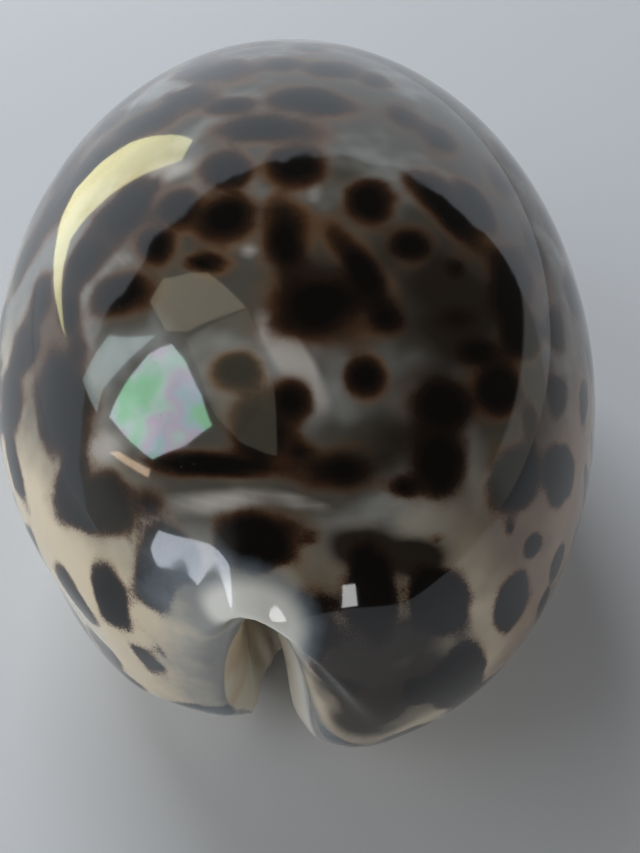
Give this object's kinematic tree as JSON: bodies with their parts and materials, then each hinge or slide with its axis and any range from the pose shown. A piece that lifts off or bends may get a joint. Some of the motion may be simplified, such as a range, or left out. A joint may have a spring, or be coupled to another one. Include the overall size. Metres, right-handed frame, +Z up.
{
  "type": "cowrie shell",
  "caption": "Glossy egg-shaped sea shell with a domed back, a flat base and a long toothed slit between its lips.",
  "frame": {"origin": "middle of the shell's bounding box, on the ground it rests on", "axes": "+Z up out of the base, +Y along the slit towards the front end, -Y towards the rear end with the deep notch, +X towards the outer lip"},
  "size_m": [0.06, 0.086, 0.046],
  "materials": {
    "shell_enamel": "very glossy natural enamel, pale with dark brown spots"
  },
  "bodies": {
    "root": {"shell": "shell_enamel"}
  },
  "joints": []
}
